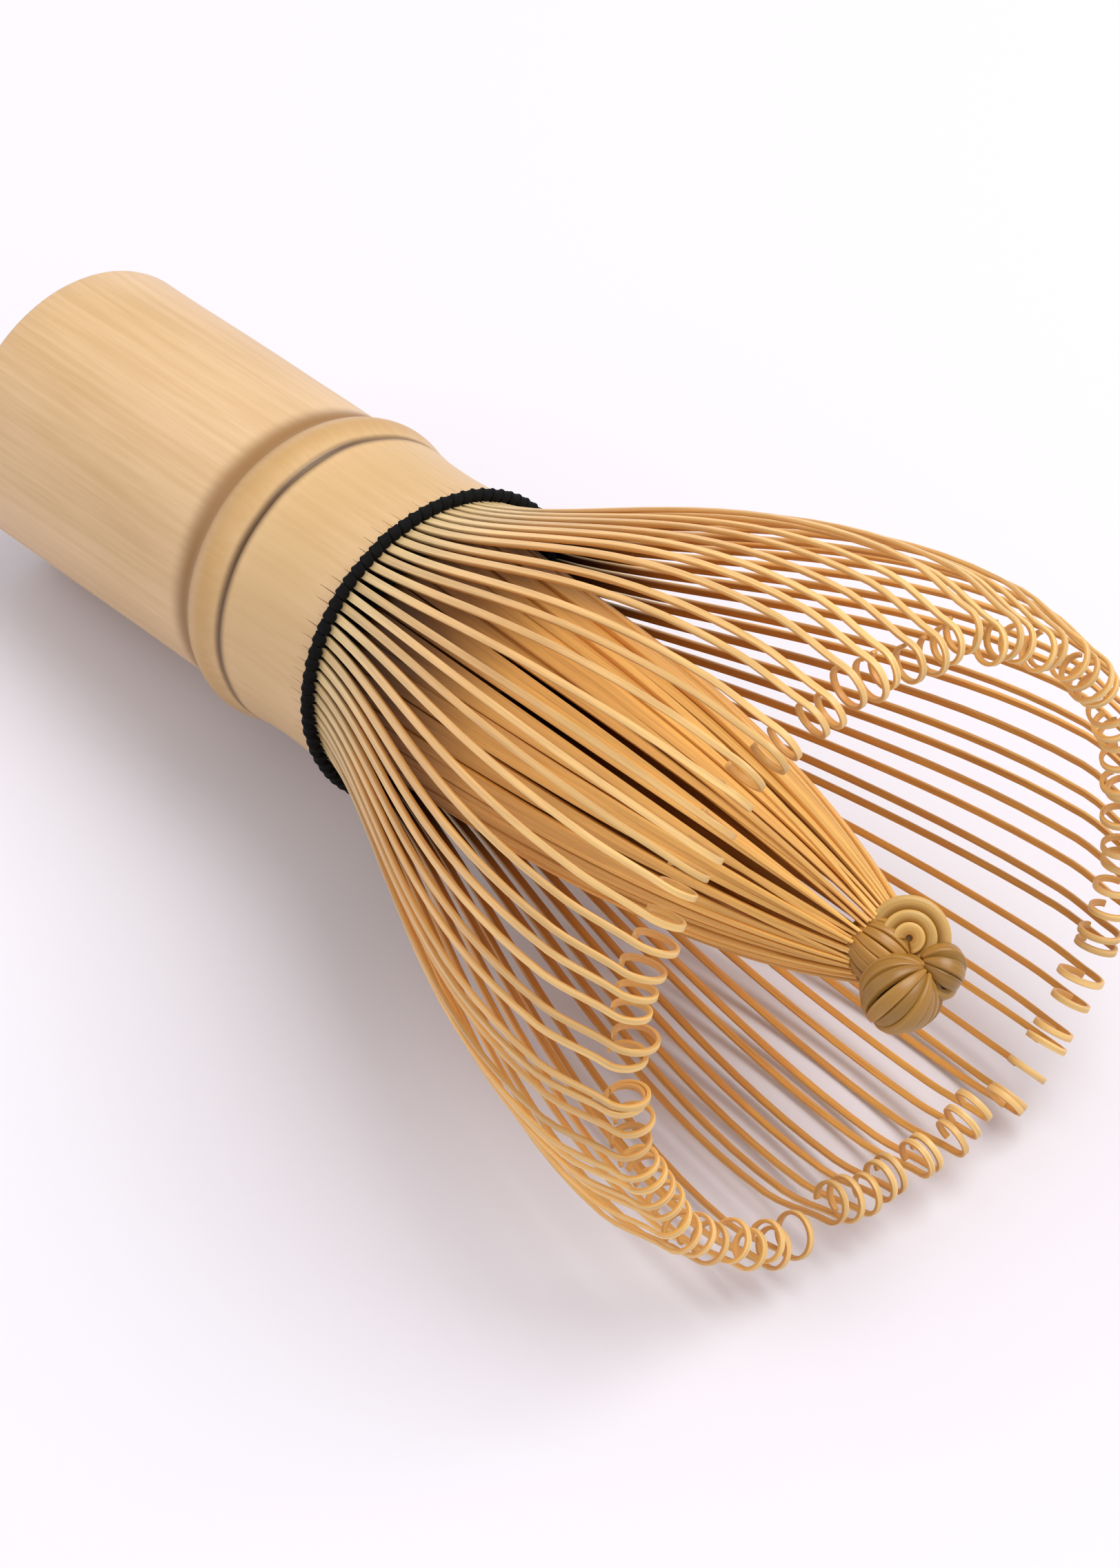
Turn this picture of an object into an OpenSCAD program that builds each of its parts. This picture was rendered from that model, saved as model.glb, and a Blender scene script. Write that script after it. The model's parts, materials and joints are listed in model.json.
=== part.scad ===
// Bamboo tea whisk: one culm split into an outer bell of curled tines and a
// closed inner bundle with a twisted end, parted by a woven thread.
// It lies at rest on the handle's rim and on the widest point of the bell.
// Frame: millimetres, +Z up, +X from the handle towards the tines.

/* [Culm] */
// Outside diameter of the handle
handle_d = 25.6; // [21:0.2:31]
// Length from the handle end to the middle of the thread
culm_len = 48.3; // [40:0.1:58]
// Diameter of the hollow inside the handle
bore_d = 18; // [15:0.2:18.6]
// Distance from the handle end to the swollen ring of the bamboo node
node_z = 33.6; // [29:0.2:36]
// How far the node stands out from the handle
node_rise = 0.9; // [0.3:0.1:1.5]
// Thickness of the natural wall that closes the hollow at the node
diaphragm_t = 2.4; // [1.5:0.1:3]
// Rounding of the handle end's outer edge
end_round = 0.6; // [0.2:0.1:1]
// How far the split end stands out from the handle
crown_rise = 0.4; // [0:0.1:0.8]
// Length of the splits that run down into the culm
slit_len = 4.2; // [2:0.1:6]
// Width of each split
slit_w = 0.14; // [0.1:0.02:0.3]

/* [Outer tines] */
// Number of tongues that the culm is first split into
segments = 16; // [12:1:20]
// Number of outer tines cut from each tongue
tines_per_segment = 5; // [3:1:5]
// Diameter of the bell across its widest point, over the tines
bell_d = 58.4; // [48:0.2:70]
// Distance from the thread to the widest point of the bell
bell_reach = 46.7; // [40:0.1:56]
// Distance from the widest point to the middle of the curl
curl_reach = 6.2; // [4.5:0.1:9]
// Width of an outer tine
tine_w = 0.5; // [0.4:0.05:0.55]
// Thickness of an outer tine
tine_t = 0.5; // [0.3:0.05:0.6]
// Radius at which the curl starts
curl_r = 2.0; // [1.8:0.1:2.8]
// Radius at which the curl ends
curl_end_r = 1.5; // [1.4:0.1:1.7]
// How far round the curl goes, in degrees
curl_turn = 300; // [200:5:310]
// Gap left under the two lowest tongues, which the floor has pressed in
foot_gap = 0.15; // [0.1:0.05:0.5]

/* [Inner tines] */
// Radius of the inner bundle where it leaves the thread
bundle_root_r = 11.0; // [9:0.1:11]
// Radius of the inner bundle along its full part
bundle_r = 10.2; // [9:0.1:12]
// Radius of the neck where the tines are twisted together
neck_r = 3.3; // [2.8:0.1:4]
// Length of the inner tines
inner_len = 52.6; // [46:0.1:60]
// Thickness of an inner tine
inner_t = 0.4; // [0.3:0.05:0.5]
// Part of each pitch that an inner tine fills
inner_fill = 0.86; // [0.7:0.02:0.92]
// Diameter of the twisted knot of tine ends
knot_d = 8.4; // [7:0.1:10]

/* [Thread] */
// Thickness of the thread's outer row
thread_d = 1.0; // [0.8:0.05:1.2]
// Thickness of the thread where it passes inside and between the tines
inner_thread_d = 0.7; // [0.4:0.05:0.8]
// Greatest thickness of the thread where it passes between two outer tines
crossing_d = 0.3; // [0.2:0.02:0.34]
// Clearance between the thread and the tines
thread_gap = 0.1; // [0.05:0.01:0.2]
// Clearance below the tine roots that lets the outer tines flex
root_gap = 0.1; // [0.08:0.01:0.2]
// Clearance below the inner bundle that lets it lean
lean_gap = 0.7; // [0.6:0.05:1]

/* [Hidden] */

function numbered(name, i) = str(name, i < 10 ? "0" : "", i);

$fn = 96;
handle_r = handle_d / 2;
bore_r = bore_d / 2;
crown_r = handle_r + crown_rise;
cup_r = crown_r - 3.4;
crown_z = culm_len - thread_d / 2;
root_r = crown_r - tine_t / 2;
root_z = crown_z + root_gap;
free_z = culm_len + thread_d / 2 + thread_gap;

tine_count = segments * tines_per_segment;
segment_angle = 360 / segments;
pitch = 360 / tine_count;

curl_inset = 0.6;
bell_r = bell_d / 2 - tine_t / 2;
bell_z = culm_len + bell_reach;
curl_centre = [bell_r - curl_r - curl_inset, bell_z + curl_reach];
bundle_z = culm_len + lean_gap;
knot_z = bundle_z + inner_len + 3.05;

// Geometry helpers

function bezier(p, t) =
    pow(1 - t, 3) * p[0] + 3 * pow(1 - t, 2) * t * p[1] + 3 * (1 - t) * t * t * p[2] + pow(t, 3) * p[3];

function heading(p, k) =
    let (a = p[max(k - 1, 0)], b = p[min(k + 1, len(p) - 1)]) (b - a) / norm(b - a);

// A line of [radius, height] points moved sideways, away from the axis when d > 0
function beside(p, d) =
    [for (k = [0:len(p) - 1]) let (h = heading(p, k)) p[k] + d * [h[1], -h[0]]];

function reversed(p) = [for (k = [len(p) - 1:-1:0]) p[k]];

// The outer tine: a short straight root, an S-shaped swell and a curl turned inwards
swell = [
    [root_r, free_z],
    [root_r + 0.2 * (bell_r - root_r), free_z + 0.25 * (bell_z - free_z)],
    [root_r + 0.93 * (bell_r - root_r), free_z + 0.6 * (bell_z - free_z)],
    [bell_r, bell_z]
];
swell_steps = 9;
curl_steps = 14;
outer_line = concat(
    [[root_r, root_z]],
    [for (k = [0:swell_steps]) bezier(swell, k / swell_steps)],
    [for (k = [0:curl_steps])
        let (a = curl_turn * k / curl_steps, r = curl_r + (curl_end_r - curl_r) * k / curl_steps)
        curl_centre + r * [cos(a), sin(a)]]
);
outer_face = beside(outer_line, tine_t / 2);

// The inner bundle: nearly straight, then drawn in to the neck
bud = [
    [bundle_root_r, bundle_z],
    [bundle_r - 0.6, bundle_z + 0.21 * inner_len],
    [bundle_r + 1.0, bundle_z + 0.63 * inner_len],
    [neck_r, bundle_z + inner_len]
];
bud_steps = 10;
inner_line = [for (k = [0:bud_steps]) bezier(bud, k / bud_steps)];

// The first and last tongues are the lowest and are pressed in, so that the whisk stands on
// the nearest tine of each neighbour, foot_angle round from the bottom, and doesn't roll
foot_angle = pitch * (tines_per_segment + 0.5);
sink = bell_r * (cos(pitch / 2) - cos(foot_angle)) + foot_gap;
press = asin(sink / cos(segment_angle / 2) / bell_reach);

// Rest: the line that touches the rounded handle rim and those two tines
function reach(r) = r * cos(foot_angle) + tine_w / 2 * sin(foot_angle);
function tilt_to(p) =
    let (v = [reach(p[0]) - handle_r + end_round, p[1] - end_round])
    atan2(v[0], v[1]) - asin(end_round / norm(v));

// How far along the floor a point of the lowest tine reaches
function pressed_reach(p) =
    let (
        aside = pitch * (tines_per_segment - 1) / 2,
        out = p[0] * cos(aside) - root_r,
        up = p[1] - culm_len,
        r = root_r + out * cos(press) - up * sin(press),
        z = culm_len + out * sin(press) + up * cos(press),
        low = r * cos(segment_angle / 2) + p[0] * sin(aside) * sin(segment_angle / 2)
    )
    low * sin(rest_tilt) + z * cos(rest_tilt);

rest_tilt = max([for (p = outer_face) tilt_to(p)]);
lift = (handle_r - end_round) * cos(rest_tilt) - end_round * sin(rest_tilt) + end_round;
x_low = -(handle_r - end_round) * sin(rest_tilt) + end_round * cos(rest_tilt) - end_round;
x_high = max(concat(
    [for (p = outer_face) reach(p[0]) * sin(rest_tilt) + p[1] * cos(rest_tilt)],
    [for (p = outer_face) pressed_reach(p)]
));
x_mid = (x_low + x_high) / 2;

// Moves a piece from the whisk's own axis to its place lying on the floor
module lying() {
    translate([-x_mid, 0, lift]) rotate([0, 90 - rest_tilt, 0]) children();
}

// Culm: handle, node and split end in one piece of bamboo

node_half = 4.4;
node_steps = 8;
crease = 0.35;

function node_outline(s) =
    handle_r + crown_rise * (s + 1) / 2 + node_rise * (1 + cos(180 * s)) / 2
    - crease * exp(-pow((abs(s) - 0.58) / 0.13, 2));

end_arc = [for (a = [-90:30:0]) [handle_r - end_round + end_round * cos(a), end_round + end_round * sin(a)]];
node_arc = [for (k = [-node_steps:node_steps])
    let (s = k / node_steps) [node_outline(s), node_z + node_half * s]];

module culm() {
    color([0.84, 0.72, 0.52]) lying() difference() {
        rotate_extrude() polygon(concat(
            [[0, node_z - diaphragm_t / 2], [bore_r, node_z - diaphragm_t / 2], [bore_r, 0]],
            end_arc,
            node_arc,
            [[crown_r, crown_z], [cup_r, crown_z], [bore_r, node_z + diaphragm_t]],
            [[bore_r, node_z + diaphragm_t / 2], [0, node_z + diaphragm_t / 2]]
        ));
        for (i = [0:tine_count - 1])
            rotate([0, 0, pitch * i])
                translate([cup_r - 1, -slit_w / 2, crown_z - slit_len])
                    cube([crown_r - cup_r + 2, slit_w, slit_len + 1]);
    }
}

// One outer tine in the plane of the axis, at angle 0
module outer_tine() {
    rotate([90, 0, 0]) linear_extrude(height = tine_w, center = true)
        polygon(concat(outer_face, reversed(beside(outer_line, -tine_t / 2))));
}

// A tongue of outer tines, and the two lowest ones lean in about their roots at the thread
module outer_tines(i) {
    lean = i == 1 || i == segments ? press : 0;
    color([0.86, 0.66, 0.38]) lying()
        rotate([0, 0, segment_angle * (i - 0.5)])
            translate([root_r, 0, culm_len]) rotate([0, -lean, 0]) translate([-root_r, 0, -culm_len])
                for (j = [1:tines_per_segment])
                    rotate([0, 0, pitch * (j - (tines_per_segment + 1) / 2)]) outer_tine();
}

// One inner tine: a thin sector of the bud-shaped shell
module inner_tine() {
    rotate([0, 0, -pitch * inner_fill / 2]) rotate_extrude(angle = pitch * inner_fill)
        polygon(concat(inner_line, reversed(beside(inner_line, -inner_t))));
}

module inner_tines(i) {
    color([0.85, 0.58, 0.25]) lying()
        for (j = [1:tines_per_segment])
            rotate([0, 0, segment_angle * (i - 0.5) + pitch * (j - (tines_per_segment + 1) / 2)])
                inner_tine();
}

// Knot: the ends of the inner tines, twisted and tucked in as four lobes
module inner_knot() {
    lobe_r = knot_d * 0.225;
    color([0.78, 0.5, 0.22]) lying() translate([0, 0, knot_z]) {
        sphere(r = 3);
        for (k = [0:3])
            rotate([0, 0, 90 * k + 45]) translate([knot_d / 2 - lobe_r, 0, 0.4]) sphere(r = lobe_r);
    }
}

// Thread: a row outside the outer tines, a row inside them and the crossings between

outer_row_r = crown_r + thread_gap + thread_d / 2;
inner_row_r = root_r - tine_t / 2 - thread_gap - inner_thread_d / 2;
tine_gap = 2 * (root_r - tine_t / 2) * sin(pitch / 2) - tine_w;
crossing_t = min(crossing_d, tine_gap - 0.08);

module ring(r, d) {
    rotate_extrude() translate([r, 0]) circle(d = d);
}

module thread_outer_row() {
    color([0.07, 0.06, 0.06]) lying() translate([0, 0, culm_len]) ring(outer_row_r, thread_d);
}

module thread_inner_row() {
    color([0.07, 0.06, 0.06]) lying() translate([0, 0, culm_len]) ring(inner_row_r, inner_thread_d);
}

module thread_crossings() {
    from_r = inner_row_r + inner_thread_d / 2;
    to_r = outer_row_r - thread_d / 2;
    color([0.07, 0.06, 0.06]) lying() translate([0, 0, culm_len])
        for (i = [0:tine_count - 1])
            rotate([0, 0, pitch * i]) translate([from_r, 0, 0]) rotate([0, 90, 0])
                cylinder(d = crossing_t, h = to_r - from_r);
}

// The thread's two ends, tied inside the bell at one side
module thread_tie() {
    tie_r = 0.4;
    color([0.07, 0.06, 0.06]) lying()
        translate([0, inner_row_r - inner_thread_d / 2 - tie_r, culm_len]) sphere(r = tie_r);
}

culm();
for (i = [1:segments])
    outer_tines(i);
for (i = [1:segments])
    inner_tines(i);
inner_knot();
thread_outer_row();
thread_inner_row();
thread_crossings();
thread_tie();
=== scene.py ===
"""Looks of a bamboo tea whisk: culm, outer and inner tines, knot and woven thread.

Pieces are shaped along the whisk's own axis, in metres from the handle end, and are then
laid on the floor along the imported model's axis.
"""
import json
import math
import random

import bpy
from mathutils import Matrix, Vector


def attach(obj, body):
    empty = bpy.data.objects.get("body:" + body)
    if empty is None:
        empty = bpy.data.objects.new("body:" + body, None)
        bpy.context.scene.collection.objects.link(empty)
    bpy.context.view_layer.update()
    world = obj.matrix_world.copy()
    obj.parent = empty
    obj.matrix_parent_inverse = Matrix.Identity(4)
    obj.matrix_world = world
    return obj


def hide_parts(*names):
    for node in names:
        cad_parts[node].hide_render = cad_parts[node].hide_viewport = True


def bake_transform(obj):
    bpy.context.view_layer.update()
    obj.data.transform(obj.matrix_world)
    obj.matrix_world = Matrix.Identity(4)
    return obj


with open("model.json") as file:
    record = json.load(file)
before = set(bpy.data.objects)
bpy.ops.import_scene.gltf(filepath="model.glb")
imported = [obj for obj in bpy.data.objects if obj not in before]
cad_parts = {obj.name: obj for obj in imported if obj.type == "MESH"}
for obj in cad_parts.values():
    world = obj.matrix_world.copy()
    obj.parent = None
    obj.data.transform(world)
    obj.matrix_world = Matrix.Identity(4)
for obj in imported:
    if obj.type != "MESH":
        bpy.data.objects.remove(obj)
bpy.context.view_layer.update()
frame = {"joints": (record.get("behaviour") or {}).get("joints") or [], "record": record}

MM = 0.001
dice = random.Random(11)

# ---------------------------------------------------------------- the frame

record = frame["record"]
mounts = {m["name"]: m for m in record["mounts"]}
joints = {j["name"]: j for j in frame["joints"]}

axis = -Vector(mounts["handle_hollow"]["axis"]).normalized()
thread_centre = Vector(joints["bundle_lean"]["pos_m"])
culm_len = (thread_centre - Vector(mounts["handle_end"]["pos_m"])).dot(axis)
handle_r = mounts["handle_grip"]["dims"]["r_mm"] * MM
bore_r = mounts["handle_hollow"]["dims"]["r_mm"] * MM
bore_depth = mounts["handle_hollow"]["dims"]["length_mm"] * MM
tongues = sum(name.startswith("outer_flex") for name in joints)
root_r = (Vector(joints["outer_flex_02"]["pos_m"]) - thread_centre).length

side = Vector((0, 1, 0))
down = side.cross(axis)
lying = Matrix((down, side, axis)).transposed().to_4x4()
lying.translation = thread_centre - axis * culm_len

# ---------------------------------------------------------------- sizes

tines_each = 5
pitch = 2 * math.pi / (tongues * tines_each)
crown_r = root_r + 0.25 * MM
node_z = bore_depth + 1.2 * MM
bell_r = 28.95 * MM
bell_z = culm_len + 46.7 * MM
floor_clear = 0.05 * MM

# ---------------------------------------------------------------- camera

AZIMUTH = math.radians(49.21)
ELEVATION = math.radians(46.59)
DISTANCE = 0.5647
LOOK_AT = Vector((0.0083, 0.0022, 0.01195))


def add_camera():
    """A long lens from above the front right."""
    data = bpy.data.cameras.new("camera")
    data.lens = 158.3
    data.sensor_width = 36
    data.clip_end = 10
    camera = bpy.data.objects.new("camera", data)
    bpy.context.scene.collection.objects.link(camera)
    bpy.context.scene.camera = camera
    toward = Vector((math.sin(AZIMUTH) * math.cos(ELEVATION),
                     -math.cos(AZIMUTH) * math.cos(ELEVATION), math.sin(ELEVATION)))
    camera.location = LOOK_AT + toward * DISTANCE
    camera.rotation_mode = "QUATERNION"
    camera.rotation_quaternion = (-toward).to_track_quat("-Z", "Y")


add_camera()
bpy.context.scene.view_settings.view_transform = "Standard"

# ---------------------------------------------------------------- material helpers


def colour(hex_value):
    """An sRGB hex colour as linear RGBA."""
    channels = [int(hex_value[i:i + 2], 16) / 255 for i in (1, 3, 5)]
    return [c / 12.92 if c <= 0.04045 else ((c + 0.055) / 1.055) ** 2.4 for c in channels] + [1.0]


def node(tree, kind, settings=None, inputs=None, links=None):
    """Adds one node: its properties, its socket values and the sockets that feed it."""
    made = tree.nodes.new(kind)
    for name, value in (settings or {}).items():
        setattr(made, name, value)
    for name, value in (inputs or {}).items():
        made.inputs[name].default_value = value
    for name, source in (links or {}).items():
        tree.links.new(source, made.inputs[name])
    return made


def new_material(name):
    """An empty node material with its Principled shader and output."""
    material = bpy.data.materials.new(name)
    material.use_nodes = True
    tree = material.node_tree
    tree.nodes.clear()
    shader = node(tree, "ShaderNodeBsdfPrincipled")
    output = node(tree, "ShaderNodeOutputMaterial")
    tree.links.new(shader.outputs["BSDF"], output.inputs["Surface"])
    return material, tree, shader


def ramp(tree, fac, stops):
    """A colour ramp from (position, hex) stops."""
    made = node(tree, "ShaderNodeValToRGB", links={"Fac": fac})
    elements = made.color_ramp.elements
    while len(elements) < len(stops):
        elements.new(0.5)
    for element, (position, value) in zip(elements, stops):
        element.position = position
        element.color = colour(value)
    return made.outputs["Color"]


def grain_space(tree, stretch):
    """Coordinates laid along the fibres: the piece's own grain attribute, squeezed along z."""
    attribute = node(tree, "ShaderNodeAttribute", {"attribute_name": "grain"})
    mapping = node(tree, "ShaderNodeMapping", inputs={"Scale": stretch},
                   links={"Vector": attribute.outputs["Vector"]})
    return attribute.outputs["Vector"], mapping.outputs["Vector"]


def mix(tree, fac, a, b, mode="MIX"):
    """Mixes two colours. fac, a and b are sockets or values."""
    made = node(tree, "ShaderNodeMix", {"data_type": "RGBA", "blend_type": mode})
    for index, value in ((0, fac), (6, a), (7, b)):
        if isinstance(value, bpy.types.NodeSocket):
            tree.links.new(value, made.inputs[index])
        else:
            made.inputs[index].default_value = value
    return made.outputs[2]


# ---------------------------------------------------------------- materials

# A noise's scale is the number of its spots or fibres in a length, such as 1.7 to the millimetre


def dried_culm_skin():
    """Dried madake culm, scraped and oven dried: pale straw with a waxy satin skin.

    The fibres run lengthwise, about 0.6 mm apart, coarser than real ones so that they show.
    They give it a fine lengthwise streak. The node is browner, and painted shade darkens the creases
    beside it.
    """
    material, tree, shader = new_material("dried_culm_skin")
    place, along = grain_space(tree, (1.0, 1.0, 0.035))
    fibre = node(tree, "ShaderNodeTexNoise", inputs={"Scale": 1.7 / MM, "Detail": 4, "Roughness": 0.6},
                 links={"Vector": along})
    streak = node(tree, "ShaderNodeTexNoise",
                  inputs={"Scale": 0.26 / MM, "Detail": 3, "Roughness": 0.55}, links={"Vector": along})
    cloud = node(tree, "ShaderNodeTexNoise", inputs={"Scale": 0.06 / MM, "Detail": 2},
                 links={"Vector": place})
    base = ramp(tree, cloud.outputs["Fac"], [(0.3, "#CDA670"), (0.7, "#D9B485")])
    streaks = ramp(tree, streak.outputs["Fac"], [(0.35, "#BE9763"), (0.65, "#E1BF98")])
    fibres = ramp(tree, fibre.outputs["Fac"], [(0.38, "#AC8857"), (0.6, "#E4C6A0")])
    base = mix(tree, 0.16, mix(tree, 0.18, base, streaks), fibres)
    split = node(tree, "ShaderNodeSeparateXYZ", links={"Vector": place})
    # Brown in the crease below the ring, at the ring and in the thin crease above it: the node's own
    # browner colour, with painted shade darkening the two creases
    wobble = node(tree, "ShaderNodeMath", {"operation": "MULTIPLY_ADD"}, {1: 0.0012},
                  {0: cloud.outputs["Fac"], 2: split.outputs["Z"]})
    centre = node_z + 0.6 * MM
    node_tint_and_crease_shade = ((6.0, 11.0, 0.5, "#C9A468"), (-2.6, 2.4, 0.95, "#8E6430"),
             (0.2, 2.8, 0.6, "#B4863F"), (2.6, 0.8, 1.0, "#54340F"))
    for offset, half, strength, tone in node_tint_and_crease_shade:
        gap = node(tree, "ShaderNodeMath", {"operation": "SUBTRACT"}, {1: centre + offset * MM},
                   {0: wobble.outputs[0]})
        away = node(tree, "ShaderNodeMath", {"operation": "ABSOLUTE"}, links={0: gap.outputs[0]})
        band = node(tree, "ShaderNodeMapRange", {"interpolation_type": "SMOOTHSTEP"},
                    {"From Min": half * MM, "From Max": 0.0, "To Min": 0.0, "To Max": strength},
                    {"Value": away.outputs[0]})
        base = mix(tree, band.outputs[0], base, colour(tone))
    tree.links.new(base, shader.inputs["Base Color"])
    rough = node(tree, "ShaderNodeMapRange", inputs={"To Min": 0.36, "To Max": 0.52},
                 links={"Value": streak.outputs["Fac"]})
    tree.links.new(rough.outputs[0], shader.inputs["Roughness"])
    shader.inputs["IOR"].default_value = 1.5
    shader.inputs["Coat Weight"].default_value = 0.12
    shader.inputs["Coat Roughness"].default_value = 0.3
    bump = node(tree, "ShaderNodeBump", inputs={"Strength": 0.25, "Distance": 0.06 * MM},
                links={"Height": fibre.outputs["Fac"]})
    tree.links.new(bump.outputs["Normal"], shader.inputs["Normal"])
    return material


def shaved_tine(name, skin_and_root_shade_stops, flesh_and_root_shade_stops, shade_hex, z_from, z_to, roughness):
    """Knife-shaved bamboo: pale skin on the outer face and golden flesh on the cut faces.

    Straight fibres 0.3 mm apart give it a dry, streaky satin. The stops run from the root to
    the tip; near-black stops at the root are painted shade. Each tine is darkened by its own tone
    attribute.
    """
    material, tree, shader = new_material(name)
    place, along = grain_space(tree, (1.0, 1.0, 0.03))
    fibre = node(tree, "ShaderNodeTexNoise", inputs={"Scale": 3.2 / MM, "Detail": 3, "Roughness": 0.6},
                 links={"Vector": along})
    patch = node(tree, "ShaderNodeTexNoise", inputs={"Scale": 0.15 / MM, "Detail": 2},
                 links={"Vector": place})
    split = node(tree, "ShaderNodeSeparateXYZ", links={"Vector": place})
    along_tine = node(tree, "ShaderNodeMapRange", inputs={"From Min": z_from, "From Max": z_to},
                      links={"Value": split.outputs["Z"]})
    # the body stops, and the inner skin stops, go near black at the root: painted shade where the tines
    # run in by the thread
    base = ramp(tree, along_tine.outputs[0], flesh_and_root_shade_stops)
    skin_hue_and_root_shade = ramp(tree, along_tine.outputs[0], skin_and_root_shade_stops)
    patches = ramp(tree, patch.outputs["Fac"], [(0.3, shade_hex), (0.7, skin_and_root_shade_stops[-1][1])])
    base = mix(tree, 0.25, base, patches, "OVERLAY")
    skin = node(tree, "ShaderNodeAttribute", {"attribute_name": "skin"})
    skin_part = node(tree, "ShaderNodeMath", {"operation": "MULTIPLY"}, {1: 0.8},
                     {0: skin.outputs["Fac"]})
    base = mix(tree, skin_part.outputs[0], base, skin_hue_and_root_shade)
    tone = node(tree, "ShaderNodeAttribute", {"attribute_name": "tone"})
    base = mix(tree, tone.outputs["Fac"], base, colour(shade_hex))
    streaks = node(tree, "ShaderNodeMapRange",
                   inputs={"From Min": 0.35, "From Max": 0.65, "To Min": 0.72, "To Max": 1.08},
                   links={"Value": fibre.outputs["Fac"]})
    grey = node(tree, "ShaderNodeCombineColor",
                links={channel: streaks.outputs[0] for channel in ("Red", "Green", "Blue")})
    base = mix(tree, 0.7, base, grey.outputs[0], "MULTIPLY")
    tree.links.new(base, shader.inputs["Base Color"])
    shader.inputs["Roughness"].default_value = roughness
    shader.inputs["IOR"].default_value = 1.5
    bump = node(tree, "ShaderNodeBump", inputs={"Strength": 0.2, "Distance": 0.04 * MM},
                links={"Height": fibre.outputs["Fac"]})
    tree.links.new(bump.outputs["Normal"], shader.inputs["Normal"])
    return material


def cotton_thread():
    """Black dyed cotton thread, twisted: matt and nearly black, with a fine fuzz."""
    material, tree, shader = new_material("black_cotton_thread")
    place, _ = grain_space(tree, (1.0, 1.0, 1.0))
    fluff = node(tree, "ShaderNodeTexNoise", inputs={"Scale": 4 / MM, "Detail": 3},
                 links={"Vector": place})
    tree.links.new(ramp(tree, fluff.outputs["Fac"], [(0.35, "#020202"), (0.75, "#0B0A09")]),
                   shader.inputs["Base Color"])
    shader.inputs["Roughness"].default_value = 0.85
    shader.inputs["Specular IOR Level"].default_value = 0.2
    bump = node(tree, "ShaderNodeBump", inputs={"Strength": 0.6, "Distance": 0.08 * MM},
                links={"Height": fluff.outputs["Fac"]})
    tree.links.new(bump.outputs["Normal"], shader.inputs["Normal"])
    return material


def pale_paper():
    """White seamless background paper: matt, so it takes only soft shadows."""
    material, tree, shader = new_material("white_paper")
    shader.inputs["Base Color"].default_value = colour("#DEDBE0")
    shader.inputs["Roughness"].default_value = 0.9
    return material


culm_skin = dried_culm_skin()
tine_span = (culm_len, culm_len + 58 * MM)
# Near-black stops at the root of both tine materials are painted shade of the narrow gap by the thread
outer_shaved = shaved_tine("shaved_outer_tines",
                           [(0.0, "#FADBA0"), (0.2, "#F6CE8C"), (0.45, "#F0C078"), (1.0, "#F0C880")],
                           [(0.0, "#120803"), (0.08, "#4A2A0E"), (0.2, "#B47830"), (0.5, "#D29444"),
                            (1.0, "#DCAA5E")], "#A06A2C", *tine_span, 0.42)
inner_shaved = shaved_tine("shaved_inner_tines",
                           [(0.0, "#3A2008"), (0.15, "#8A5A22"), (0.3, "#F2B65C"), (1.0, "#F8C46A")],
                           [(0.0, "#050201"), (0.1, "#1C0E05"), (0.2, "#985F22"), (0.32, "#E6A450"),
                            (1.0, "#ECB25C")], "#A0642A", *tine_span, 0.45)
# 1A0B03 darkens the knot's inner spheres as painted shade, and the ribs by a random tone
knot_ends = shaved_tine("twisted_tine_ends", [(0.0, "#DDB264"), (1.0, "#DDB264")],
                        [(0.0, "#AE7E30"), (0.5, "#BC8E40"), (1.0, "#AE7E30")],
                        "#1A0B03", 0, 10 * MM, 0.36)
thread_black = cotton_thread()

# ---------------------------------------------------------------- modelling helpers


def only(obj):
    """Makes obj the only selected and active object."""
    bpy.ops.object.select_all(action="DESELECT")
    obj.select_set(True)
    bpy.context.view_layer.objects.active = obj


def start_edit(obj, chosen=None):
    """Opens obj in edit mode with all of it selected, or only the vertices that chosen says."""
    only(obj)
    bpy.ops.object.mode_set(mode="EDIT")
    bpy.ops.mesh.select_all(action="DESELECT" if chosen else "SELECT")
    if chosen:
        bpy.ops.object.mode_set(mode="OBJECT")
        for vertex, picked in zip(obj.data.vertices, chosen):
            vertex.select = picked
        bpy.ops.object.mode_set(mode="EDIT")


def end_edit():
    """Leaves edit mode and gives the object back."""
    bpy.ops.object.mode_set(mode="OBJECT")
    return bpy.context.object


def apply_modifier(obj, kind, **settings):
    """Adds a modifier, sets it and applies it."""
    only(obj)
    modifier = obj.modifiers.new(kind.lower(), kind)
    for name, value in settings.items():
        setattr(modifier, name, value)
    bpy.ops.object.modifier_apply(modifier=modifier.name)


def strip(name, stations, width, depth):
    """A flat strip of shaved bamboo along +X: a rectangle extruded from station to station.

    width and depth give its sizes along Z and Y from the share of the length passed.
    """
    bpy.ops.object.select_all(action="DESELECT")
    bpy.ops.mesh.primitive_plane_add(size=1, rotation=(0, math.pi / 2, 0))
    obj = bpy.context.object
    obj.name = name
    obj.scale = (width(0), depth(0), 1)
    bpy.ops.object.transform_apply(location=True, rotation=True, scale=True)
    start_edit(obj)
    for before, here in zip(stations, stations[1:]):
        t0, t1 = before / stations[-1], here / stations[-1]
        bpy.ops.mesh.extrude_region_move(TRANSFORM_OT_translate={"value": (here - before, 0, 0)})
        bpy.ops.transform.resize(value=(1, depth(t1) / depth(t0), width(t1) / width(t0)),
                                 center_override=(here, 0, 0))
    bpy.ops.mesh.select_all(action="SELECT")
    bpy.ops.mesh.normals_make_consistent(inside=False)
    return end_edit()


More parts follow.
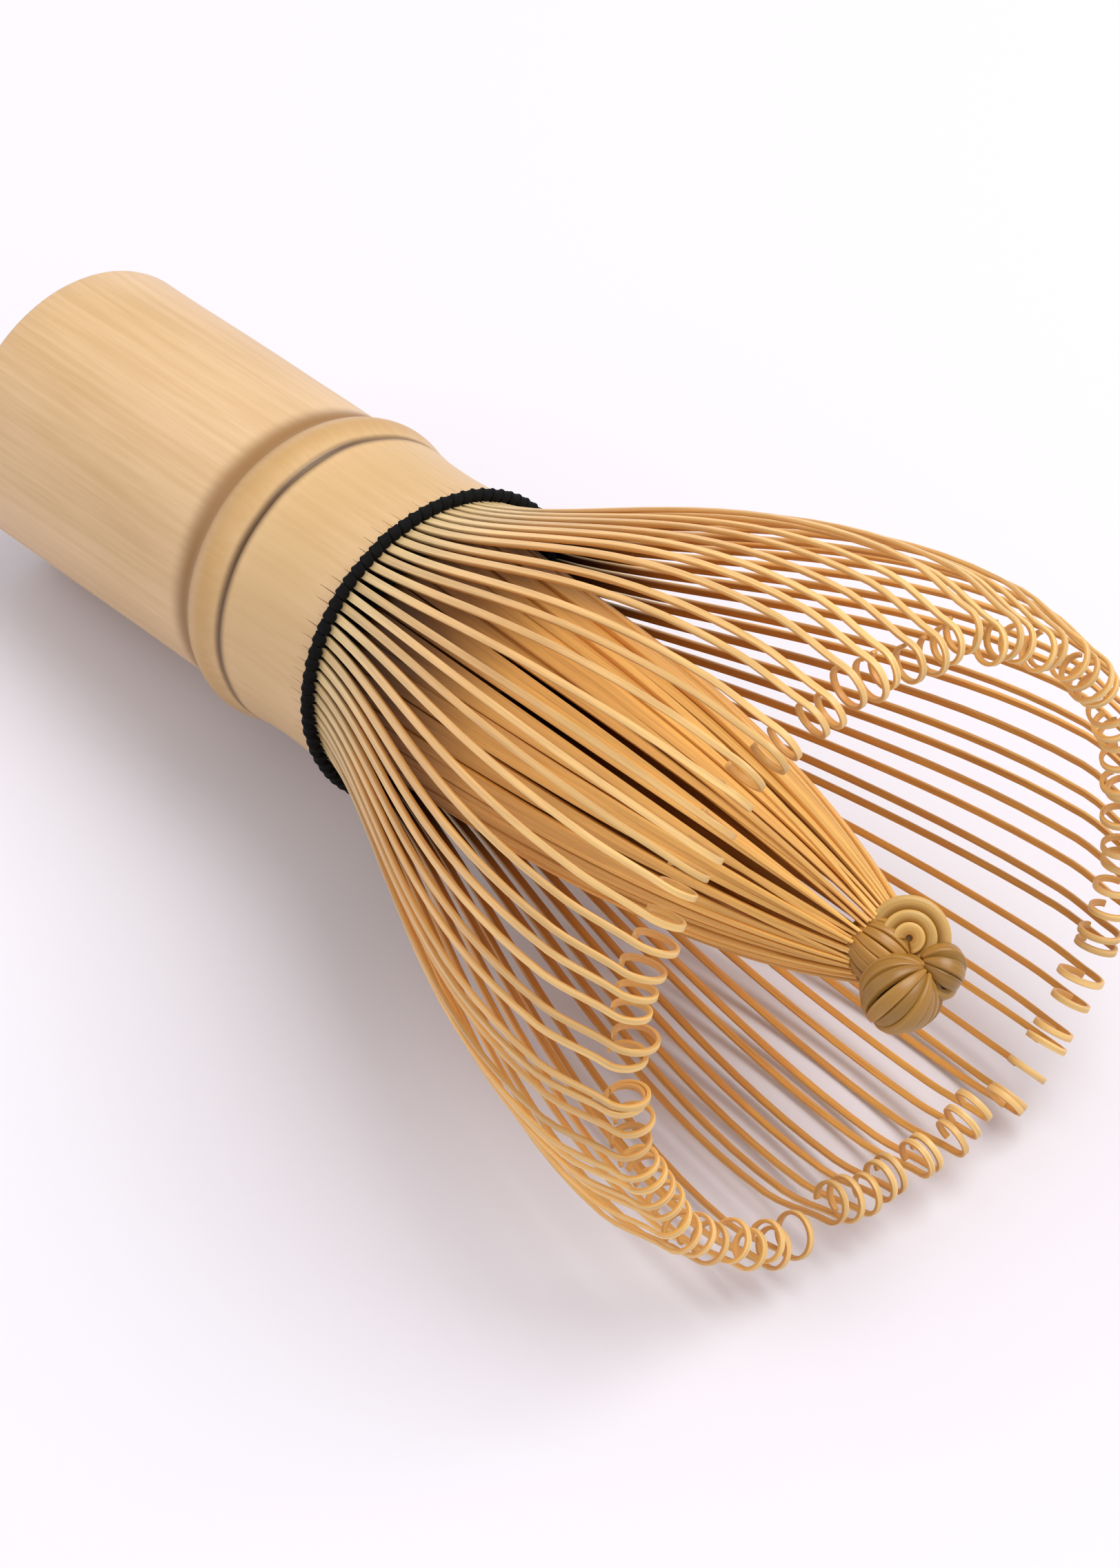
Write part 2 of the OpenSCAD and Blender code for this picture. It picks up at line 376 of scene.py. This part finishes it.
def keep_grain(obj, start):
    """Keeps where each point lies before the piece is bent, and whether it is on the skin side."""
    mesh = obj.data
    shift = Vector((dice.uniform(-1, 1), dice.uniform(-1, 1), 0))
    for name, kind in (("tone", "FLOAT"), ("skin", "FLOAT"), ("grain", "FLOAT_VECTOR")):
        mesh.attributes.new(name, kind, "POINT")
    grain, skin = mesh.attributes["grain"].data, mesh.attributes["skin"].data
    for k, vertex in enumerate(mesh.vertices):
        grain[k].vector = Vector((vertex.co.z, vertex.co.y, vertex.co.x + start)) + shift
        skin[k].value = 1 if vertex.co.y > 0.1 * MM else 0


def spine(name, points):
    """A guide curve through (along the axis, away from the axis, aside) points."""
    data = bpy.data.curves.new(name, "CURVE")
    data.dimensions = "3D"
    data.twist_mode = "Z_UP"
    line = data.splines.new("POLY")
    line.points.add(len(points) - 1)
    for point, place in zip(line.points, points):
        point.co = (*place, 1)
    obj = bpy.data.objects.new(name, data)
    bpy.context.scene.collection.objects.link(obj)
    return obj


def stations_along(points):
    """Distances along a guide curve at each of its points."""
    far = [0]
    for before, here in zip(points, points[1:]):
        far.append(far[-1] + math.dist(before, here))
    return far


def bezier(p, t):
    """A point on a cubic curve from p[0] to p[3]."""
    weights = ((1 - t) ** 3, 3 * (1 - t) ** 2 * t, 3 * (1 - t) * t * t, t ** 3)
    return tuple(sum(w * q[i] for w, q in zip(weights, p)) for i in range(2))


def bent_strip(name, points, width, depth, start=0.0, round_by=0.07 * MM):
    """A strip with rounded edges, bent along a guide curve and stood on the whisk's axis."""
    obj = strip(name, stations_along(points), width, depth)
    apply_modifier(obj, "BEVEL", width=round_by, segments=2, limit_method="ANGLE")
    keep_grain(obj, start)
    guide = spine("guide", points)
    apply_modifier(obj, "CURVE", object=guide, deform_axis="POS_X")
    bpy.data.objects.remove(guide)
    # the guide's X is the whisk's axis, its Y points away from it and its Z aside
    obj.data.transform(Matrix(((0, 1, 0, 0), (0, 0, 1, 0), (1, 0, 0, 0), (0, 0, 0, 1))))
    return obj


def copy_of(obj, name):
    """A copy with its own mesh."""
    made = obj.copy()
    made.data = obj.data.copy()
    made.name = name
    bpy.context.scene.collection.objects.link(made)
    return made


def joined(parts, name):
    """Joins parts into one object with its own mesh."""
    bpy.ops.object.select_all(action="DESELECT")
    for part in parts:
        part.select_set(True)
    bpy.context.view_layer.objects.active = parts[0]
    if len(parts) > 1:
        bpy.ops.object.join()
    obj = bpy.context.object
    obj.name = name
    obj.data.name = name
    return obj


def finish_piece(obj, material, nodes, body, bends_to=None, angle=40):
    """Lays a finished piece on the floor, smooths it and hangs it on its body.

    A piece with bends_to is not hung on a body; its place is baked into its mesh.
    """
    only(obj)
    bpy.ops.object.shade_smooth_by_angle(angle=math.radians(angle))
    obj.data.transform(lying)
    obj.data.materials.clear()
    obj.data.materials.append(material)
    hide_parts(*nodes)
    if bends_to:
        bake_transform(obj)
    else:
        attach(obj, body)
    return obj


def turned(angle):
    """A turn about the whisk's axis."""
    return Matrix.Rotation(angle, 4, "Z")


def about(point, angle, around):
    """A turn about a line through point."""
    there = Matrix.Translation(point)
    return there @ Matrix.Rotation(angle, 4, around) @ there.inverted()


# ---------------------------------------------------------------- culm

SIDES = 144
crown_z = culm_len - 0.5 * MM
cup_r = crown_r - 3.4 * MM


def hump(z, middle, half):
    """A smooth rise of height 1 at middle, about twice half wide."""
    return math.exp(-((z - middle) / half) ** 2)


def culm_r(z):
    """The culm's radius: a shallow brown groove, the ring, a sharp crease and a slow flare."""
    flare = min(1, max(0, (z - node_z + 4.4 * MM) / (8.8 * MM)))
    return (handle_r + (crown_r - handle_r) * flare + 0.8 * MM * hump(z, node_z, 1.9 * MM)
            - 0.3 * MM * hump(z, node_z - 2.4 * MM, 0.55 * MM)
            - 0.26 * MM * hump(z, node_z + 2.4 * MM, 0.17 * MM)
            + 0.12 * MM * hump(z, node_z + 3.0 * MM, 0.5 * MM)
            - 0.15 * MM * hump(z, node_z + 7.0 * MM, 3.2 * MM))


def culm_outline():
    """(height, radius) from the wall at the node, down the hollow, up the outside and into the cup."""
    wall = 1.2 * MM
    edge = 0.6 * MM
    inside = [(node_z - wall, bore_r - 0.8 * MM), (node_z - wall - 0.3 * MM, bore_r - 0.25 * MM),
              (node_z - wall - 0.9 * MM, bore_r), (node_z * 0.6, bore_r), (node_z * 0.3, bore_r),
              (0.35 * MM, bore_r), (0.08 * MM, bore_r + 0.1 * MM), (0, bore_r + 0.35 * MM)]
    rim = [(0, handle_r - edge)] + [(edge - edge * math.cos(a), handle_r - edge + edge * math.sin(a))
                                    for a in (math.radians(30), math.radians(60))]
    heights = [edge] + [k * 3 * MM for k in range(1, 10)]
    fine = [node_z + k * 0.25 * MM for k in range(-19, 25)]
    crease = [node_z + 2.4 * MM + k * 0.07 * MM for k in range(-5, 6)]
    heights += sorted(z for z in fine if abs(z - node_z - 2.4 * MM) > 0.4 * MM) + crease
    heights += [crown_z - k * MM for k in range(7, 0, -1)] + [crown_z - 0.15 * MM]
    outside = [(z, culm_r(z)) for z in sorted(heights)]
    top = [(crown_z, crown_r - 0.15 * MM), (crown_z, cup_r), (node_z + 4 * MM, bore_r),
           (node_z + wall + 0.8 * MM, bore_r), (node_z + wall, bore_r - 0.8 * MM)]
    return inside + rim + outside + top


def shell(name, outline, sides):
    """A closed shell: a ring extruded from height to height, and its two ends filled."""
    bpy.ops.object.select_all(action="DESELECT")
    height, radius = outline[0]
    bpy.ops.mesh.primitive_circle_add(vertices=sides, radius=radius, location=(0, 0, height),
                                      fill_type="NOTHING")
    obj = bpy.context.object
    obj.name = name
    bpy.ops.object.transform_apply(location=True, rotation=True, scale=True)
    start_edit(obj)
    for (z0, r0), (z1, r1) in zip(outline, outline[1:]):
        bpy.ops.mesh.extrude_region_move(TRANSFORM_OT_translate={"value": (0, 0, z1 - z0)})
        bpy.ops.transform.resize(value=(r1 / r0, r1 / r0, 1), center_override=(0, 0, z1))
    bpy.ops.mesh.select_all(action="DESELECT")
    bpy.ops.mesh.select_mode(type="EDGE")
    bpy.ops.mesh.select_non_manifold()
    bpy.ops.mesh.edge_face_add()
    bpy.ops.mesh.select_all(action="SELECT")
    bpy.ops.mesh.normals_make_consistent(inside=False)
    return end_edit()


def slit_cutter(length):
    """A thin wedge through the wall that narrows towards the bottom of the split."""
    bpy.ops.object.select_all(action="DESELECT")
    above = MM
    middle = crown_z + above - (length + above) / 2
    bpy.ops.mesh.primitive_cube_add(size=1, location=(crown_r - 1.2 * MM, 0, middle))
    cutter = bpy.context.object
    cutter.scale = (4.6 * MM, dice.uniform(0.08, 0.13) * MM, length + above)
    bpy.ops.object.transform_apply(location=True, rotation=True, scale=True)
    bottom = [vertex.co.z < crown_z - length / 2 for vertex in cutter.data.vertices]
    start_edit(cutter, bottom)
    bpy.ops.transform.resize(value=(1, 0.15, 1), center_override=(0, 0, 0))
    return end_edit()


def make_culm():
    """The culm, slightly uneven, with its end split between the tines."""
    culm = shell("culm_skin", culm_outline(), SIDES)
    uneven = bpy.data.textures.new("culm_unevenness", "CLOUDS")
    uneven.noise_scale = 0.016
    apply_modifier(culm, "DISPLACE", texture=uneven, strength=0.16 * MM, mid_level=0.5)
    cutters = []
    for k in range(tongues * tines_each):
        cutter = slit_cutter(dice.uniform(1.1, 2.6) * MM)
        cutter.data.transform(turned(pitch * (k + dice.uniform(-0.06, 0.06))))
        cutters.append(cutter)
    slits = joined(cutters, "slits")
    apply_modifier(culm, "BOOLEAN", object=slits, operation="DIFFERENCE", solver="EXACT")
    bpy.data.objects.remove(slits)
    mesh = culm.data
    mesh.attributes.new("grain", "FLOAT_VECTOR", "POINT")
    for vertex, grain in zip(mesh.vertices, mesh.attributes["grain"].data):
        grain.vector = vertex.co
    finish_piece(culm, culm_skin, ["culm"], "handle", angle=32)


make_culm()

# ---------------------------------------------------------------- thread

row_r = crown_r + 0.45 * MM
inner_row_r = root_r - 0.8 * MM


def stitch(name, length, thick):
    """A short length of two-ply thread along +X, thickest in its middle."""
    steps = 10
    size = [0.62 + 0.38 * math.sin(math.pi * k / steps) ** 0.6 for k in range(steps + 1)]
    bpy.ops.object.select_all(action="DESELECT")
    bpy.ops.mesh.primitive_circle_add(vertices=12, radius=thick / 2 * size[0], fill_type="NGON",
                                      rotation=(0, math.pi / 2, 0))
    obj = bpy.context.object
    obj.name = name
    bpy.ops.object.transform_apply(location=True, rotation=True, scale=True)
    start_edit(obj)
    bpy.ops.transform.resize(value=(1, 1.1, 0.78), center_override=(0, 0, 0))
    bpy.ops.transform.translate(value=(-length / 2, 0, 0))
    for k in range(steps):
        x = length * ((k + 1) / steps - 0.5)
        grow = size[k + 1] / size[k]
        bpy.ops.mesh.extrude_region_move(TRANSFORM_OT_translate={"value": (length / steps, 0, 0)})
        bpy.ops.transform.resize(value=(1, grow, grow), center_override=(x, 0, 0))
        bpy.ops.transform.rotate(value=math.radians(22), orient_axis="X", center_override=(x, 0, 0))
    bpy.ops.mesh.select_all(action="SELECT")
    bpy.ops.mesh.normals_make_consistent(inside=False)
    made = end_edit()
    keep_grain(made, 0)
    return made


def row_of_stitches(pattern, radius, height, slant):
    """Stitches laid end to end round the whisk, one for each tine."""
    made = []
    for k in range(tongues * tines_each):
        part = copy_of(pattern, "stitch")
        tilt = math.radians(slant + dice.uniform(-4, 4))
        part.data.transform(turned(pitch * (k + 0.5))
                            @ Matrix.Translation((radius, 0, height + dice.gauss(0, 0.03) * MM))
                            @ Matrix.Rotation(tilt, 4, "X") @ turned(math.pi / 2))
        made.append(part)
    return made


def make_thread():
    """The outer row, four turns of inner winding, the lengths across and the tied ends."""
    outer = stitch("outer_stitch", pitch * row_r * 1.2, 1.12 * MM)
    finish_piece(joined(row_of_stitches(outer, row_r, culm_len, 14), "thread_outer_stitches"),
                 thread_black, ["thread_outer_row"], "handle", angle=60)
    inner = stitch("inner_stitch", pitch * inner_row_r * 1.2, 0.8 * MM)
    rows = []
    for k in range(4):
        slant = -10 if k % 2 else 12
        rows += row_of_stitches(inner, inner_row_r - 0.12 * k * MM, culm_len + 0.62 * k * MM, slant)
    finish_piece(joined(rows, "thread_inner_winding"),
                 thread_black, ["thread_inner_row"], "handle", angle=60)
    across = stitch("crossing_stitch", row_r - inner_row_r, 0.3 * MM)
    across.data.transform(Matrix.Diagonal((1, 1, 2.6, 1)))
    crossings = []
    between_rows = (row_r + inner_row_r) / 2
    for k in range(tongues * tines_each):
        part = copy_of(across, "crossing")
        part.data.transform(turned(pitch * k) @ Matrix.Translation((between_rows, 0, culm_len)))
        crossings.append(part)
    finish_piece(joined(crossings, "thread_crossing_lengths"),
                 thread_black, ["thread_crossings"], "handle", angle=60)
    tie_y = inner_row_r - 0.9 * MM
    # (turn in degrees, rise and length in mm) of the tie's two loops, its middle and its two tails
    lays = ((0, 0, 0.9), (40, 0.3, 1.1), (-40, -0.3, 1.1), (85, 0.9, 2.6), (100, 1.1, 2.2))
    tails = []
    for turn, rise, length in lays:
        part = copy_of(inner, "tie")
        scale = length * MM / (pitch * inner_row_r * 1.2)
        part.data.transform(Matrix.Translation((0, tie_y, culm_len + rise * MM))
                            @ Matrix.Rotation(math.radians(turn), 4, "Y")
                            @ Matrix.Diagonal((scale, 0.7, 0.7, 1)))
        tails.append(part)
    finish_piece(joined(tails, "thread_tied_ends"),
                 thread_black, ["thread_tie"], "handle", angle=60)
    for pattern in (outer, inner, across):
        bpy.data.objects.remove(pattern)


make_thread()

# ---------------------------------------------------------------- outer tines

tine_from = culm_len - 0.35 * MM
SWELL_STEPS = 18
CURL_STEPS = 24
# the two lowest tongues, which the floor presses in
pressed_tongues = (1, tongues)
press_angle = math.radians(3.49)


def outer_spine(curl_r, turn, belly, aside):
    """Root at the thread, S-shaped swell, and a tip curled inwards."""
    start = culm_len + 0.6 * MM
    swell = ((start, root_r),
             (start + 0.25 * (bell_z - start), root_r + 0.2 * (belly - root_r)),
             (start + 0.6 * (bell_z - start), root_r + 0.93 * (belly - root_r)),
             (bell_z, belly))
    centre = (bell_z + 7.0 * MM, belly - curl_r - 0.9 * MM)
    points = [(tine_from, root_r)] + [bezier(swell, k / SWELL_STEPS) for k in range(SWELL_STEPS + 1)]
    points += [bezier((swell[3], (bell_z + 2.5 * MM, belly + 0.1 * MM),
                       (centre[0] - 2 * MM, centre[1] + curl_r), (centre[0], centre[1] + curl_r)), k / 5)
               for k in range(1, 5)]
    for k in range(CURL_STEPS + 1):
        angle = turn * k / CURL_STEPS
        r = curl_r * (1 - 0.22 * k / CURL_STEPS)
        points.append((centre[0] + r * math.sin(angle), centre[1] + r * math.cos(angle)))
    last = len(points) - 1
    return [(x, y, aside * (k / last) ** 2) for k, (x, y) in enumerate(points)]


def outer_tine(index):
    """One outer tine; each pattern has its own curl and sways its own way."""
    points = outer_spine(dice.uniform(1.65, 2.05) * MM, math.radians(dice.uniform(285, 345)),
                         bell_r + dice.uniform(-0.4, 0.1) * MM, dice.uniform(-0.5, 0.5) * MM)
    return bent_strip(f"outer_pattern_{index}", points, lambda t: (0.74 - 0.2 * t ** 0.5) * MM,
                      lambda t: (0.48 - 0.16 * t) * MM, culm_len)


def set_tone(obj, tone):
    """Sets how far a piece is darkened, from 0 to 1."""
    for value in obj.data.attributes["tone"].data:
        value.value = tone


def clears_floor(obj, place):
    """Whether a piece, once placed and laid down, stays above the floor."""
    down_to = lying @ place
    return min((down_to @ vertex.co).z for vertex in obj.data.vertices) > floor_clear


def place_outer(part, angle, lean, sway):
    """Stands a tine at an angle round the axis and leans it in until it clears the floor."""
    root = Vector((root_r, 0, culm_len))
    while True:
        place = turned(angle) @ about(root, lean, "Y") @ about(root, sway, "X")
        if clears_floor(part, place):
            part.data.transform(place)
            return
        lean -= math.radians(0.15)


def make_outer_tines():
    """One object for each tongue, its tines chosen from a few patterns."""
    patterns = [outer_tine(k) for k in range(9)]
    for i in range(1, tongues + 1):
        parts = []
        middle = (i - 0.5) * 2 * math.pi / tongues
        for j in range(tines_each):
            part = copy_of(dice.choice(patterns), "tine")
            lean = math.radians(dice.gauss(0, 0.35)) - (press_angle if i in pressed_tongues else 0)
            sway = math.radians(dice.gauss(0, 0.45))
            place_outer(part, middle + pitch * (j - (tines_each - 1) / 2), lean, sway)
            set_tone(part, max(0, dice.gauss(0.1, 0.12)))
            parts.append(part)
        obj = joined(parts, f"outer_tongue_tines_{i:02d}")
        finish_piece(obj, outer_shaved, [f"outer_tines_{i:02d}"], "handle",
                     f"outer_tongue_{i:02d}")
    for pattern in patterns:
        bpy.data.objects.remove(pattern)


make_outer_tines()

# ---------------------------------------------------------------- inner tines

inner_root_r = 11.0 * MM
neck_r = 2.9 * MM
neck_z = culm_len + 53.6 * MM


def inner_spine(swell):
    """The bud's outline: nearly straight, then drawn in to the neck."""
    start = culm_len - 0.4 * MM
    curve = ((start, inner_root_r), (culm_len + 11 * MM, 9.6 * MM), (culm_len + 33 * MM, 11.2 * MM),
             (neck_z, neck_r))
    steps = 26
    points = [bezier(curve, k / steps) for k in range(steps + 1)]
    return [(x, y + swell * math.sin(math.pi * k / steps), 0) for k, (x, y) in enumerate(points)]


def inner_tine(index):
    """One inner tine: it fills its share of the bundle, so it narrows towards the neck."""
    points = inner_spine(dice.uniform(-0.2, 0.3) * MM)
    far = stations_along(points)
    fill = dice.uniform(1.0, 1.1)

    def width(t):
        k = min(range(len(far)), key=lambda n: abs(far[n] - t * far[-1]))
        return pitch * points[k][1] * fill

    return bent_strip(f"inner_pattern_{index}", points, width, lambda t: (0.55 - 0.2 * t) * MM, culm_len)


def make_inner_tines():
    """One object for each tongue of the bundle, its tines chosen from a few patterns."""
    patterns = [inner_tine(k) for k in range(6)]
    root = Vector((inner_root_r, 0, culm_len))
    for i in range(1, tongues + 1):
        parts = []
        for j in range(tines_each):
            part = copy_of(dice.choice(patterns), "tine")
            angle = (i - 0.5) * 2 * math.pi / tongues + pitch * (j - (tines_each - 1) / 2)
            angle += pitch * dice.gauss(0, 0.06)
            part.data.transform(turned(angle) @ about(root, math.radians(dice.gauss(0, 0.22)), "Y")
                                @ about(root, math.radians(dice.gauss(0, 0.3)), "X"))
            set_tone(part, max(0, dice.gauss(0.08, 0.16)))
            parts.append(part)
        obj = joined(parts, f"inner_tongue_tines_{i:02d}")
        finish_piece(obj, inner_shaved, [f"inner_tines_{i:02d}"], "handle",
                     "inner_bundle")
    for pattern in patterns:
        bpy.data.objects.remove(pattern)


make_inner_tines()

# ---------------------------------------------------------------- knot of tine ends

knot_z = culm_len + 56.8 * MM
# The knot's open side looks up and forward. Its places are given as (along, across, out)
knot_out = Vector((-0.65, -0.44, 0.62)).normalized()
knot_along = (Vector((0, 0, 1)) - knot_out * knot_out.z).normalized()
knot_across = knot_out.cross(knot_along)


def knot_place(along, across, out):
    """A point of the knot, in mm from its middle on the whisk's axis."""
    return (Vector((0, 0, knot_z))
            + (knot_along * along + knot_across * across + knot_out * out) * MM)


def knot_direction(along, across, out):
    """A direction at the knot, of length 1."""
    return (knot_along * along + knot_across * across + knot_out * out).normalized()


def frame_at(place, pole):
    """A frame at place whose Z is pole."""
    return Matrix.Translation(place) @ pole.to_track_quat("Z", "Y").to_matrix().to_4x4()


def arc(radius, start, stop, steps, flatten=1.0):
    """Points of an arc from start to stop, in degrees from the guide's X."""
    turns = [math.radians(start + (stop - start) * k / steps) for k in range(steps + 1)]
    return [(radius * flatten * math.cos(a), radius * math.sin(a), 0) for a in turns]


def fan(place, radius, pole, count, flatten=0.9):
    """A lobe of tine ends that fan out from one pole, over a near-black sphere of painted shade."""
    points = arc(radius, 8, 172, 22, flatten)
    share = 2 * math.pi * radius / count
    rib = bent_strip("rib", points,
                     lambda t: 0.22 * MM + 0.74 * share * math.sin(math.pi * (0.04 + 0.92 * t)),
                     lambda t: 0.8 * MM, 0, 0.22 * MM)
    parts = []
    for k in range(count):
        part = copy_of(rib, "rib")
        turn = 2 * math.pi * (k + dice.uniform(-0.22, 0.22)) / count
        part.data.transform(frame_at(place, pole) @ turned(turn)
                            @ Matrix.Scale(dice.uniform(0.93, 1.05), 4))
        set_tone(part, dice.uniform(0.0, 0.35))
        parts.append(part)
    bpy.data.objects.remove(rib)
    # near-black sphere of painted shade, seen in the slots between the ribs
    shade_ball = painted_shade_sphere(radius * 0.88, flatten, 1.0)
    shade_ball.data.transform(frame_at(place, pole))
    return parts + [shade_ball]


def painted_shade_sphere(radius, flatten, tone):
    """A sphere inside a lobe, darkened as painted shade that shows in the slots between its ribs or in
    the middle of a hook.
    """
    bpy.ops.object.select_all(action="DESELECT")
    bpy.ops.mesh.primitive_uv_sphere_add(segments=24, ring_count=14, radius=radius)
    shade_ball = bpy.context.object
    start_edit(shade_ball)
    bpy.ops.transform.resize(value=(1, 1, flatten), center_override=(0, 0, 0))
    end_edit()
    keep_grain(shade_ball, 0)
    set_tone(shade_ball, tone)
    return shade_ball


def hook(middle, rings, start, stop):
    """Tine ends wound round a middle on the open side: (radius, rise, thickness) of each in mm."""
    place = Matrix((knot_along, knot_across, knot_out)).transposed().to_4x4()
    place.translation = knot_place(*middle)
    parts = []

    def width(t):
        return 1.9 * MM * (0.6 + 0.4 * math.sin(math.pi * min(1, 0.15 + 0.85 * t)) ** 0.5)

    for radius, rise, thick in rings:
        part = bent_strip("turn", arc(radius * MM, start, stop, 30), width, lambda t: thick * MM, 0,
                          0.27 * MM)
        # the guide's plane is laid across the open side
        part.data.transform(Matrix(((0, 0, 1, 0), (1, 0, 0, 0), (0, 1, 0, 0), (0, 0, 0, 1))))
        part.data.transform(place @ Matrix.Translation((0, 0, rise * MM)))
        set_tone(part, dice.uniform(0.0, 0.2))
        parts.append(part)
    # a half-darkened sphere of painted shade in the middle of the hook
    shade_ball = painted_shade_sphere(rings[0][0] * 0.93 * MM, 0.6, 0.45)
    shade_ball.data.transform(place @ Matrix.Translation((0, 0, -0.9 * MM)))
    return parts + [shade_ball]


def make_knot():
    """Three fans of tine ends, and a hook of ends wound back over them."""
    parts = fan(knot_place(0.8, -2.1, 0.3), 2.95 * MM, knot_direction(0.2, 0.95, 0.45), 15)
    parts += fan(knot_place(2.2, 0.9, -0.4), 1.9 * MM, knot_direction(-0.8, -0.1, 0.5), 9)
    parts += fan(knot_place(-2.2, -0.3, -1.5), 2.4 * MM, knot_direction(-1, 0.05, 0), 17, 1.1)
    rings = ((2.75, -0.6, 1.15), (1.72, -0.1, 1.0), (0.75, 0.25, 1.0))
    parts += hook((-1.1, 1.7, -0.3), rings, 220, -50)
    obj = joined(parts, "inner_knot_twist")
    finish_piece(obj, knot_ends, ["inner_knot"], "inner_bundle", angle=50)


make_knot()

# ---------------------------------------------------------------- stage


def add_stage():
    """Pale paper floor, a big soft light overhead, a weak one from the left and a pale world."""
    bpy.ops.object.select_all(action="DESELECT")
    bpy.ops.mesh.primitive_plane_add(size=4, location=(0, 0, 0))
    floor = bpy.context.object
    floor.name = "floor"
    floor.data.materials.append(pale_paper())

    world = bpy.data.worlds.new("studio")
    bpy.context.scene.world = world
    world.use_nodes = True
    background = world.node_tree.nodes["Background"]
    background.inputs["Color"].default_value = (0.95, 0.94, 1.0, 1.0)
    background.inputs["Strength"].default_value = 0.74

    for name, place, size, power in (("key", (0.24, 0.3, 0.88), 0.7, 7.2),
                                     ("fill", (-0.5, -0.6, 0.6), 0.8, 1.4)):
        data = bpy.data.lights.new(name, "AREA")
        data.size = size
        data.energy = power
        light = bpy.data.objects.new(name, data)
        light.location = place
        aim = Vector((0, 0, 0.02)) - Vector(place)
        light.rotation_euler = aim.to_track_quat("-Z", "Y").to_euler()
        bpy.context.scene.collection.objects.link(light)


add_stage()
